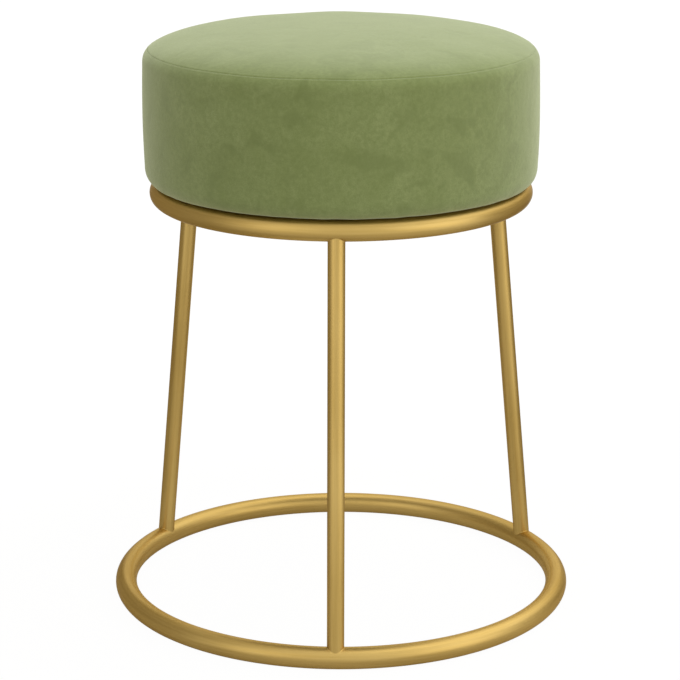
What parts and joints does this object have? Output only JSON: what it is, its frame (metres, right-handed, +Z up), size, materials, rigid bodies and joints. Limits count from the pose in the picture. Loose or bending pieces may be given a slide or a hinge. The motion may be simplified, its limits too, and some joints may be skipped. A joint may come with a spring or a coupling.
{
  "type": "round stool",
  "caption": "Round stool: a drum-shaped velvet cushion on an open frame of round gold tube, with a seat ring, leaning legs and a larger floor ring.",
  "frame": {"origin": "on the floor, under the middle of the seat", "axes": "+Z up through the middle of both rings; -Y towards the front leg; +X to the right seen from the front"},
  "size_m": [0.38, 0.38, 0.4757],
  "materials": {
    "gold_frame": "satin",
    "velvet": "matte",
    "foam": "matte",
    "plywood": "matte",
    "zinc_steel": "satin",
    "lining": "matte"
  },
  "bodies": {
    "root": {"base_ring": "gold_frame", "cover_side_band": "velvet", "cover_top_panel": "velvet", "dust_cover": "lining", "leg_front": "gold_frame", "leg_rear_left": "gold_frame", "leg_rear_right": "gold_frame", "screw_washer_front_left": "zinc_steel", "screw_washer_front_right": "zinc_steel", "screw_washer_rear": "zinc_steel", "seat_board": "plywood", "seat_foam": "foam", "seat_ring": "gold_frame", "seat_screw_front_left": "zinc_steel", "seat_screw_front_right": "zinc_steel", "seat_screw_rear": "zinc_steel", "seat_tab_front_left": "gold_frame", "seat_tab_front_right": "gold_frame", "seat_tab_rear": "gold_frame", "staple_01": "zinc_steel", "staple_02": "zinc_steel", "staple_03": "zinc_steel", "staple_04": "zinc_steel", "staple_05": "zinc_steel", "staple_06": "zinc_steel", "staple_07": "zinc_steel", "staple_08": "zinc_steel", "staple_09": "zinc_steel", "staple_10": "zinc_steel", "staple_11": "zinc_steel", "staple_12": "zinc_steel", "staple_13": "zinc_steel", "staple_14": "zinc_steel", "staple_15": "zinc_steel", "staple_16": "zinc_steel", "staple_17": "zinc_steel", "staple_18": "zinc_steel", "tee_nut_front_left": "zinc_steel", "tee_nut_front_right": "zinc_steel", "tee_nut_rear": "zinc_steel"}
  },
  "joints": []
}
